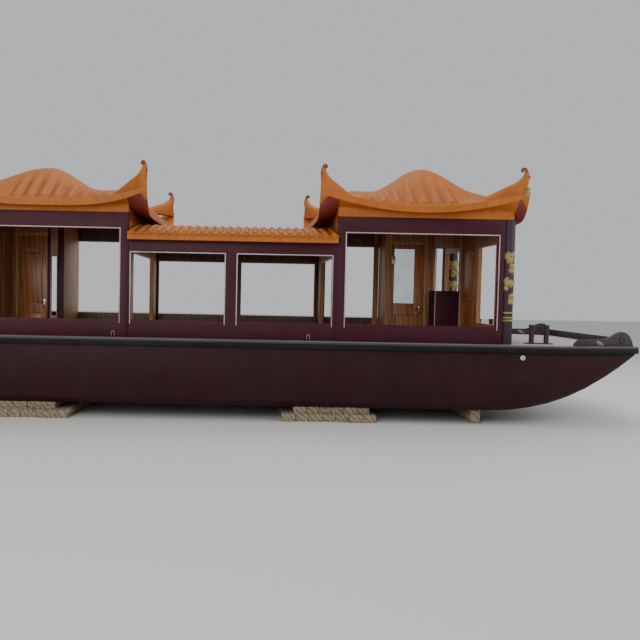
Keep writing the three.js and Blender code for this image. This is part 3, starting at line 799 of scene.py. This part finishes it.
def roll_rise(at, rolls, share):
    """Height of the tile rolls; share is 0 at the eave and 1 at the crest."""
    wide = rolls["count"] * ROLL["pitch"]
    along = at - rolls["centre"] + wide / 2
    if not 0 <= along <= wide or not ROLL["start"] < share < ROLL["end"]:
        return 0.0
    wave = -math.cos(2 * math.pi * along / ROLL["pitch"])
    rounded = math.copysign(abs(wave) ** 0.7, wave)
    profile = (1 - ROLL["pan"] + (1 + ROLL["pan"]) * rounded) / 2
    return ROLL["rise"] * profile * min(1, (ROLL["end"] - share) / (ROLL["end"] - ROLL["fade"]))


def roof_z(x, y, shape):
    """Height of the roof's upper face and how much painted shade darkens it there between the tile rolls.
    """
    from_side = (EAVE["y"] - abs(y)) / SLOPE["side"]
    from_end = (EAVE["x"] - abs(x)) / SLOPE["end"]
    s = min(1.0, from_side, from_end)
    low = eave_z(x, y, shape["sweep"]) + band_at(x)
    climb = 0.7 * math.sin(math.pi * s / 2) ** 2 + 0.3 * s * (2 - s)
    if from_side < from_end:
        rolls = roll_rise(x, SIDE_ROLLS, s)
    else:
        rolls = roll_rise(y, END_ROLLS, s)
    # Painted shade in the pans between the rolls, fading out up the slope
    groove_shade = max(0.0, -rolls) / (ROLL["rise"] * ROLL["pan"]) * max(0.0, 1 - s / shape["shade_reach"])
    return low + (crest_z(x, shape) - low) * climb + rolls, groove_shade


ROOF_CELLS = (180, 180)
SOFFIT = 1
# A horn's sections from the bottom up: height, how far from the corner its middle lies along the
# diagonal, half its depth along the diagonal and its width across
HORN = (
    (2.780, -0.320, 0.310, 0.170),
    (2.835, -0.228, 0.216, 0.165),
    (2.880, -0.182, 0.167, 0.155),
    (2.940, -0.124, 0.104, 0.140),
    (2.980, -0.081, 0.065, 0.115),
    (3.023, -0.054, 0.043, 0.090),
    (3.065, -0.038, 0.027, 0.072),
    (3.106, -0.035, 0.020, 0.060),
)
HORN_STEPS, HORN_SIDES = 5, 20
# The curled tip and the small fin on the horn's back: distance out, height and radius
CURL = (
    (-0.035, 3.100, 0.0205),
    (-0.037, 3.135, 0.0195),
    (-0.054, 3.158, 0.0175),
    (-0.078, 3.152, 0.0150),
    (-0.082, 3.128, 0.0125),
    (-0.066, 3.116, 0.0100),
    (-0.058, 3.130, 0.0070),
)
FIN = ((-0.035, 3.020, 0.022), (-0.008, 3.034, 0.014), (0.000, 3.062, 0.003))


def between(rows, at):
    """A smooth value between the rows of a table, row by row."""
    n = min(int(at), len(rows) - 2)
    t = at - n
    before, here, after, beyond = (
        rows[max(0, min(len(rows) - 1, n + k))] for k in (-1, 0, 1, 2)
    )
    return [
        0.5 * (2 * b + (c - a) * t + (2 * a - 5 * b + 4 * c - d) * t**2 + (3 * b - a - 3 * c + d) * t**3)
        for a, b, c, d in zip(before, here, after, beyond)
    ]


# How much darker the horns' curls and fins are painted, through the same mask as the grooves' painted
# shade
TIP_DARKENING = 0.8


def add_horn(form, groove, sx, sy):
    """A horn that grows out of the roof's corner and ends in a small dark curl turned inwards."""
    rings = []
    for n in range((len(HORN) - 1) * HORN_STEPS + 1):
        z, centre, half, wide = between(HORN, n / HORN_STEPS)
        loop = []
        for k in range(HORN_SIDES):
            angle = 2 * math.pi * k / HORN_SIDES
            out = centre + half * math.cos(angle)
            aside = wide / 2 * math.sin(angle) * math.sqrt(0.5)
            spot = sx * (EAVE["x"] + out + aside), sy * (EAVE["y"] + out - aside), z
            loop.append(form.verts.new(spot))
        rings.append(loop)
    for lower, upper in zip(rings, rings[1:]):
        for k in range(HORN_SIDES):
            after = (k + 1) % HORN_SIDES
            form.faces.new((lower[k], lower[after], upper[after], upper[k]))
    form.faces.new(rings[0])
    form.faces.new(rings[-1])
    before = len(form.verts)
    for spine in (CURL, FIN):
        points = [(sx * (EAVE["x"] + out), sy * (EAVE["y"] + out), z) for out, z, _ in spine]
        sweep(form, points, [r for *_, r in spine], resolution=3)
    form.verts.ensure_lookup_table()
    for vert in form.verts[before:]:
        vert[groove] = TIP_DARKENING


def roof_shell(form, groove, shape, end):
    made = bmesh.ops.create_grid(form, x_segments=ROOF_CELLS[0], y_segments=ROOF_CELLS[1], size=1)
    for vert in made["verts"]:
        x = EAVE["x"] * math.copysign(abs(vert.co.x) ** 0.85, vert.co.x)
        y = EAVE["y"] * math.copysign(abs(vert.co.y) ** 0.80, vert.co.y)
        z, groove_shade = roof_z(x, y, shape)
        vert.co = (end * x, y, z)
        vert[groove] = groove_shade
    under = bmesh.ops.extrude_face_region(form, geom=form.faces[:], use_keep_orig=True)["geom"]
    for vert in under:
        if isinstance(vert, bmesh.types.BMVert):
            vert.co.z = eave_z(vert.co.x, vert.co.y, shape["sweep"])
            vert[groove] = 0.0
    bmesh.ops.recalc_face_normals(form, faces=form.faces)


# Gilt clouds carved one above the other on both faces of each outer corner, under its horn:
# height, distance in from the corner and size
CORNER_CLOUDS = ((2.815, 0.024, 0.030), (2.855, 0.020, 0.036), (2.900, 0.026, 0.028))
CORNER_CLOUD_SUNK = 0.050
ROOF_BASE = {"inner": 1.336, "outer": 3.578, "y": 1.306, "foot": 2.524, "top": 2.655}


def on_corner(x_sign, y_sign, height, inward, on_end):
    """Places carving near a roof's corner, on its end face or else on its long face."""

    def place(aside, up, out):
        x, y = (out, aside - inward) if on_end else (aside - inward, out)
        return x_sign * (ROOF_CENTRE + EAVE["x"] + x), y_sign * (EAVE["y"] + y), height + up

    return place


# The red paint stays on the overhangs past these lengths, at the roof's two ends
RED_INNER, RED_OUTER = ROOF_CENTRE - ROOF_BASE["inner"], ROOF_BASE["outer"] - ROOF_CENTRE

for cabin, end in (("fore", 1), ("aft", -1)):
    form = bmesh.new()
    groove_layer = form.verts.layers.float.new("groove")
    roof_shell(form, groove_layer, SHAPES[cabin], end)
    for face in form.faces:
        outward = end * face.calc_center_median().x
        overhang = not -RED_INNER < outward < RED_OUTER
        face.material_index = SOFFIT if overhang and face.normal.z < -0.5 else 0
    for sx in (-1, 1):
        for sy in (-1, 1):
            add_horn(form, groove_layer, sx, sy)
    bmesh.ops.recalc_face_normals(form, faces=form.faces)
    bmesh.ops.translate(form, verts=form.verts, vec=(end * ROOF_CENTRE, 0, 0))
    ends = sorted((end * ROOF_BASE["inner"], end * ROOF_BASE["outer"]))
    base_low = (ends[0], -ROOF_BASE["y"], ROOF_BASE["foot"])
    base_high = (ends[1], ROOF_BASE["y"], ROOF_BASE["top"])
    block(form, base_low, base_high, 0.006)
    roof = make(f"{cabin}_roof_shell", form, [ochre_gelcoat, soffit_red], slot="ochre_gelcoat")
    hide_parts(f"{cabin}_roof")
    dress(f"{cabin}_roof_infill", [ochre_gelcoat], 0.003)
    form = bmesh.new()
    for sy in (-1, 1):
        for height, inward, size in CORNER_CLOUDS:
            for on_end in (False, True):
                spot = on_corner(end, sy, height, inward, on_end)
                cloud(form, size, CARVING["cloud"], spot, CORNER_CLOUD_SUNK)
    bmesh.ops.recalc_face_normals(form, faces=form.faces)
    make(f"{cabin}_roof_corner_relief", form, [gilt], slot="bronze", crease=60)

# Middle roof: a low moulded roof over one plain ochre fascia. Half-round tile rolls lie side by side
# down each slope, and their ends stand out along the thin edge of the eave.
MID_END = 1.335
MID_ROOF = {"fascia": 1.395, "foot": 2.178, "eave": 1.414, "edge": 0.014}
MID_PITCH = ((0.0, 2.428), (0.45, 2.412), (0.88, 2.385), (1.15, 2.330), (1.414, 2.268))
MID_ROLL = {"count": 24, "pitch": 2.67 / 24, "radius": 0.034, "past": 0.006}
form = bmesh.new()
outline = [(y, z) for y, z in MID_PITCH]
outline += [
    (MID_ROOF["eave"], MID_PITCH[-1][1] - MID_ROOF["edge"]),
    (MID_ROOF["fascia"], MID_PITCH[-1][1] - MID_ROOF["edge"]),
    (MID_ROOF["fascia"], MID_ROOF["foot"]),
]
outline += [(-y, z) for y, z in reversed(outline[1:])]
end_face = form.faces.new([form.verts.new((-MID_END, y, z)) for y, z in outline])
grown = bmesh.ops.extrude_face_region(form, geom=[end_face], use_keep_orig=True)["geom"]
far = [g for g in grown if isinstance(g, bmesh.types.BMVert)]
bmesh.ops.translate(form, verts=far, vec=(2 * MID_END, 0, 0))
for side in (-1, 1):
    for n in range(MID_ROLL["count"]):
        x = -MID_END + MID_ROLL["pitch"] * (n + 0.5)
        path = [(x, side * y, z) for y, z in MID_PITCH]
        path.append((x, side * (MID_ROOF["eave"] + MID_ROLL["past"]), MID_PITCH[-1][1] - 0.002))
        sweep(form, path, [MID_ROLL["radius"]] * len(path), resolution=4)
ridge_low = (-MID_END, -0.050, MID_PITCH[0][1] - 0.02)
ridge_high = (MID_END, 0.050, MID_PITCH[0][1] + 0.042)
block(form, ridge_low, ridge_high, 0.014, 3)
bmesh.ops.recalc_face_normals(form, faces=form.faces)
mid_roof = make("mid_roof_shell", form, [ochre_gelcoat], slot="ochre_gelcoat", crease=50)
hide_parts("mid_roof")

# Bulkheads: framed and varnished board panels that close the high cabins' outer ends.
for node in ("fore_bulkhead", "aft_bulkhead"):
    dress(node, [cabin_wood], 0.003)

# Doors: solid varnished leaves with raised panels on both faces, arched at the top in the cabins,
# each hung on two steel barrels. The fore cubicle's door has a pane in its upper half.
door_wood = grained("door_wood", srgb(168, 102, 46), srgb(132, 74, 32), UPRIGHT, 0.42, 0.1, 0.15)
lever_steel = painted(
    "lever_steel", srgb(176, 170, 160), srgb(120, 116, 110), 0.25, dust=0.1, Metallic=0.9
)
LEAF_FRONT, LEAF_BACK = 0.0084, 0.0444
LEAF_EDGE = 0.0025
# Each leaf hangs on two hinges, at these shares of its height
BARREL = {"radius": 0.008, "half": 0.06}
HINGE_SHARES = (0.12, 0.88)
# The lever stands this far in from the edge that opens
LEVER_IN = 0.047
MOULDING = {"rise": 0.008, "edge": 0.014, "slope": 0.030, "seat": 0.003, "groove": 0.0005}


def raised_panel(form, x, z, face_y, outward, arch=0.0):
    """A raised field inside a moulded frame on a door's face; arch lifts its top in the middle."""
    outline = [(x[0], z[0]), (x[1], z[0])]
    steps = 12 if arch else 1
    for i in range(steps + 1):
        along = i / steps
        outline.append((x[1] + (x[0] - x[1]) * along, z[1] + arch * math.sin(math.pi * along) ** 2))
    back = face_y - outward * MOULDING["seat"]
    field = form.faces.new([form.verts.new((px, back, pz)) for px, pz in outline])
    grown = bmesh.ops.extrude_face_region(form, geom=[field], use_keep_orig=True)["geom"]
    front = next(g for g in grown if isinstance(g, bmesh.types.BMFace))
    for depth, inset in (
        (MOULDING["rise"], MOULDING["edge"]),
        (MOULDING["groove"], MOULDING["edge"] * 0.6),
        (MOULDING["groove"], MOULDING["slope"]),
        (MOULDING["rise"] * 0.9, 0),
    ):
        for vert in front.verts:
            vert.co.y = face_y + outward * depth
        if inset:
            bmesh.ops.inset_region(form, faces=[front], thickness=inset)


def lever(form, x, z, face_y, outward):
    """A lever handle: a back plate, a spindle and a curved grip that points to the hinges."""
    plate = sorted((face_y, face_y + outward * 0.006))
    block(form, (x - 0.019, plate[0], z - 0.09), (x + 0.019, plate[1], z + 0.045), 0.0025)
    stand = face_y + outward * 0.040
    grip = [
        (x, face_y, z),
        (x, stand - outward * 0.012, z),
        (x, stand, z),
        (x - 0.03, stand, z + 0.003),
        (x - 0.07, stand, z + 0.004),
        (x - 0.092, stand, z - 0.004),
        (x - 0.100, stand, z - 0.010),
    ]
    sweep(form, grip, [0.010, 0.009, 0.010, 0.009, 0.008, 0.007, 0.005])


# Each panel: its reach along the leaf, its reach in height, and the rise of its arch
TALL_PANELS = (((0.07, 0.365), (0.16, 0.86), 0.0), ((0.07, 0.365), (1.02, 1.80), 0.07))
SHORT_PANELS = (((0.09, 0.56), (0.10, 0.52), 0.0), ((0.09, 0.56), (0.64, 1.20), 0.05))
GLAZED_PANELS = (((0.06, 0.445), (0.14, 0.92), 0.0),)
GLAZED_PANE = ((0.041, 0.359), (1.105, 1.955))
DOORS = {
    # node: hinge foot, quarter turn, leaf width and height, lever height, panels, pane, mirrored
    "fore_door": ((3.4784, -0.3275, 0.955), 90, 0.650, 1.370, 0.720, SHORT_PANELS, None, 1),
    "aft_door": ((-3.4784, 0.0275, 0.955), -90, 0.650, 1.370, 0.720, SHORT_PANELS, None, 1),
    "fore_cubicle_door": (
        (2.4345, 0.6916, 0.305), 0, 0.500, 2.020, 1.020, GLAZED_PANELS, GLAZED_PANE, 1
    ),
    "toilet_door": ((-3.3075, 0.3984, 0.305), 0, 0.435, 2.020, 1.020, TALL_PANELS, None, -1),
}
for node, (foot, turn, width, height, lever_z, panels, pane, hand) in DOORS.items():
    place = Matrix.Translation(foot) @ Matrix.Rotation(math.radians(turn), 4, "Z")
    place = place @ Matrix.Diagonal((1, hand, 1, 1))
    form = bmesh.new()
    left, right = LEAF_EDGE, LEAF_EDGE + width
    if pane:
        (glass_left, glass_right), (glass_foot, glass_top) = pane
        for x, z in (
            ((left, glass_left), (0, height)),
            ((glass_right, right), (0, height)),
            ((glass_left, glass_right), (0, glass_foot)),
            ((glass_left, glass_right), (glass_top, height)),
        ):
            block(form, (x[0], LEAF_FRONT, z[0]), (x[1], LEAF_BACK, z[1]), 0.002)
    else:
        block(form, (left, LEAF_FRONT, 0), (right, LEAF_BACK, height), 0.003)
    for x, z, arch in panels:
        raised_panel(form, x, z, LEAF_FRONT, -1, arch)
        raised_panel(form, x, z, LEAF_BACK, 1, arch)
    bmesh.ops.transform(form, matrix=place, verts=form.verts)
    bmesh.ops.recalc_face_normals(form, faces=form.faces)
    leaf = make(f"{node}_leaf", form, [door_wood], BODY_OF[node], SLOT_OF[node])
    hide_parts(node)

    form = bmesh.new()
    for share in HINGE_SHARES:
        barrel = Matrix.Translation((0, 0, height * share - BARREL["half"]))
        tall = 2 * BARREL["half"]
        profile = (
            (0.0, 0.0), (0.006, 0.0), (BARREL["radius"], 0.003), (BARREL["radius"], tall - 0.003),
            (0.006, tall), (0.0, tall),
        )
        ring(form, barrel, profile, 16)
        z = (height * share - BARREL["half"], height * share + BARREL["half"])
        block(form, (0.0, LEAF_FRONT - 0.004, z[0]), (0.055, LEAF_FRONT + 0.0008, z[1]), 0.001)
    face_y, outward = (LEAF_FRONT, -1) if hand > 0 else (LEAF_BACK, 1)
    lever(form, right - LEVER_IN, lever_z, face_y, outward)
    bmesh.ops.transform(form, matrix=place, verts=form.verts)
    bmesh.ops.remove_doubles(form, verts=form.verts, dist=1e-6)
    bmesh.ops.recalc_face_normals(form, faces=form.faces)
    make(f"{node}_ironwork", form, [lever_steel], BODY_OF[node], "rudder_steel")

pane_glass, pane_tree, pane_shader, pane_where = new_material(
    "pane", Transmission_Weight=0.9, IOR=1.45, Roughness=0.04
)
smears = remap(pane_tree, noise(pane_tree, pane_where, 4.0, 4.0), 0.4, 0.8)
pane_tree.links.new(
    blend(pane_tree, smears, srgb(236, 242, 240), srgb(205, 214, 210)), pane_shader.inputs["Base Color"]
)
frame["nodes"]["fore_cubicle_glass"].data.materials.clear()
frame["nodes"]["fore_cubicle_glass"].data.materials.append(pane_glass)

# Cabin joinery: portals, the two cubicles with their corner posts and architraves, the low maroon
# cabinet, steps and floor, all in varnished wood.
floor_wood = grained("floor_wood", srgb(128, 84, 46), srgb(92, 56, 28), ALONG, 0.5, 0.3, 0.1)
for node in ("fore_portal", "aft_portal"):
    dress(node, [light_wood], 0.004)
dress("fore_cubicle", [cabin_wood], 0.003)
dress("toilet_cubicle", [cabin_wood, light_wood], 0.003, choose=lambda f: int(f.normal.x > 0.5))
dress("fore_cabinet", [maroon_paint], 0.004)
for node in ("fore_steps", "aft_steps"):
    dress(node, [floor_wood], 0.006)
dress("cabin_sole", [floor_wood], 0.002)
FLOOR, HIGH_CEILING = 0.302, 2.522
BULKHEAD_IN = 3.408
TRIM = 0.010
LIGHT, DARK, PALE, BOARD = 0, 1, 2, 3
TRIMS = (
    # face, starts and ends along the boat, foot and head, finish
    (0.700, 2.331, 2.428, FLOOR, HIGH_CEILING, LIGHT),
    (0.700, 2.946, 2.984, FLOOR, HIGH_CEILING, LIGHT),
    (0.700, 3.082, 3.119, FLOOR, HIGH_CEILING, LIGHT),
    (0.700, 2.430, 2.944, 2.334, 2.380, LIGHT),
    (0.360, -3.352, -3.312, FLOOR, HIGH_CEILING, LIGHT),
    (0.360, -2.862, -2.824, FLOOR, HIGH_CEILING, DARK),
    (0.360, -2.715, -2.621, FLOOR, HIGH_CEILING, DARK),
    (0.360, -3.310, -2.864, 2.334, 2.380, LIGHT),
    (0.360, -2.822, -2.810, 1.108, 2.032, PALE),
    (0.360, -2.808, -2.732, 1.108, 1.120, PALE),
    (0.360, -2.808, -2.732, 2.020, 2.032, PALE),
    (0.360, -2.730, -2.718, 1.108, 2.032, PALE),
    (0.335, 3.027, 3.039, FLOOR, HIGH_CEILING, PALE),
    (0.335, 3.396, 3.408, FLOOR, HIGH_CEILING, PALE),
    (0.345, 3.037, 3.398, 2.270, HIGH_CEILING, BOARD),
    (1.239, 2.240, 2.326, FLOOR, HIGH_CEILING, LIGHT),
    (1.239, 1.400, 1.440, FLOOR, HIGH_CEILING, LIGHT),
)
form = bmesh.new()
for face, start, finish, foot, head, look in TRIMS:
    before = len(form.faces)
    block(form, (start, face - TRIM, foot), (finish, face, head), 0.002)
    form.faces.ensure_lookup_table()
    for made in form.faces[before:]:
        made.material_index = look
make("cabin_trims", form, [light_wood, maroon_paint, bead_white, cabin_wood], slot="light_wood")

# White beads edge the window openings inside the cabins too.
form = bmesh.new()
for side in (-1, 1):
    y = sorted((side * (WALL_INNER - BEAD["thick"]), side * WALL_INNER))
    for start, end, top in WINDOWS:
        wide = BEAD["wide"]
        ends = max(-BULKHEAD_IN, start - wide), min(BULKHEAD_IN, end + wide)
        block(form, (ends[0], y[0], top), (ends[1], y[1], top + wide), 0.002)
make("window_beads_inside", form, [bead_white], slot="strip_paint")

# Bow boards: the cheek boards stand on the gunwale, and a low board crosses the bow between them.
# Both faces of a cheek have a large scroll carved in the hump and small clouds at the middle, painted
# pale as a highlight.
CHEEK = {"x": 4.790, "y": 1.272, "foot": 0.930, "half_thick": 0.0225, "angle": 0.19}
CHEEK_SCROLL = {"along": 0.250, "height": 0.092, "size": 0.062, "thick": 0.009}
CHEEK_CLOUD_THICK = 0.006
CHEEK_CLOUDS = (
    # along the board, height, size
    (-0.094, 0.054, 0.021),
    (-0.062, 0.038, 0.028),
    (-0.026, 0.024, 0.017),
)
# The small clouds are painted pale as a painted highlight on the dark board
carving_highlight = painted("carving_highlight", srgb(128, 118, 128), srgb(98, 90, 98), 0.6, 0.6, 0.1)


def on_cheek(board, face_sign, along, height):
    """Places carving on one face of a cheek board."""

    def place(aside, up, out):
        return board @ Vector((along + aside, face_sign * (CHEEK["half_thick"] + out), height + up))

    return place


for side, sign in (("stbd", -1), ("port", 1)):
    dress(f"bow_cheek_{side}", [plum_lacquer], 0.006)
    board = Matrix.Translation((CHEEK["x"], sign * CHEEK["y"], CHEEK["foot"]))
    board = board @ Matrix.Rotation(-sign * CHEEK["angle"], 4, "Z")
    scrolls = bmesh.new()
    clouds = bmesh.new()
    for face_sign in (-1, 1):
        hump = on_cheek(board, face_sign, CHEEK_SCROLL["along"], CHEEK_SCROLL["height"])
        scroll(scrolls, CHEEK_SCROLL["size"], 1, CHEEK_SCROLL["thick"], hump)
        for along, height, size in CHEEK_CLOUDS:
            cloud(clouds, size, CHEEK_CLOUD_THICK, on_cheek(board, face_sign, along, height))
    for kind, form, look in (("scrolls", scrolls, plum_lacquer), ("clouds", clouds, carving_highlight)):
        bmesh.ops.recalc_face_normals(form, faces=form.faces)
        make(f"bow_cheek_{side}_{kind}", form, [look], slot="plum_wood", crease=60)
dress("bow_board", [plum_lacquer], 0.006)

# Drive: a painted motor block, the stern tube, a three-bladed bronze propeller and a plate rudder.
motor_paint = painted("motor_paint", srgb(72, 78, 84), srgb(52, 56, 60), 0.5)
bronze = painted("bronze", srgb(172, 128, 70), srgb(110, 78, 44), 0.35, 0.8, 0.15, Metallic=0.9)
rudder_steel = painted("rudder_steel", srgb(96, 92, 92), srgb(70, 58, 54), 0.5, 0.8, 0.2, Metallic=0.3)
for node, material in (
    ("motor", motor_paint),
    ("stern_tube", bronze),
    ("propeller", bronze),
    ("rudder", rudder_steel),
):
    dress(node, [material], 0.002)

# Bearers: rough sawn planks in one or two layers, laid across under the flat bottom.
bearer_timber = grained("bearer_timber", srgb(146, 130, 108), srgb(106, 90, 70), ATHWART, 0.85, 0.3, 0.0)
PLANK = {"wide": 0.165, "gap": 0.004, "short": 0.05}
BEARERS = ("bearer_aft_lower", "bearer_aft_upper", "bearer_mid_lower", "bearer_mid_upper", "bearer_fore")
draw = random.Random(7)
for node in BEARERS:
    low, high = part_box(node)
    count = max(1, round((high.x - low.x) / PLANK["wide"]))
    wide = (high.x - low.x) / count
    form = bmesh.new()
    for n in range(count):
        start = low.x + n * wide + (PLANK["gap"] / 2 if n else 0)
        finish = low.x + (n + 1) * wide - (PLANK["gap"] / 2 if n < count - 1 else 0)
        trim = (0.0, 0.0) if n == 0 else (draw.random() * PLANK["short"], draw.random() * PLANK["short"])
        block(form, (start, low.y + trim[0], low.z), (finish, high.y - trim[1], high.z), 0.003)
    planks = make(f"{node}_planks", form, [bearer_timber], slot="bearer_timber", lift=0)
    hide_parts(node)
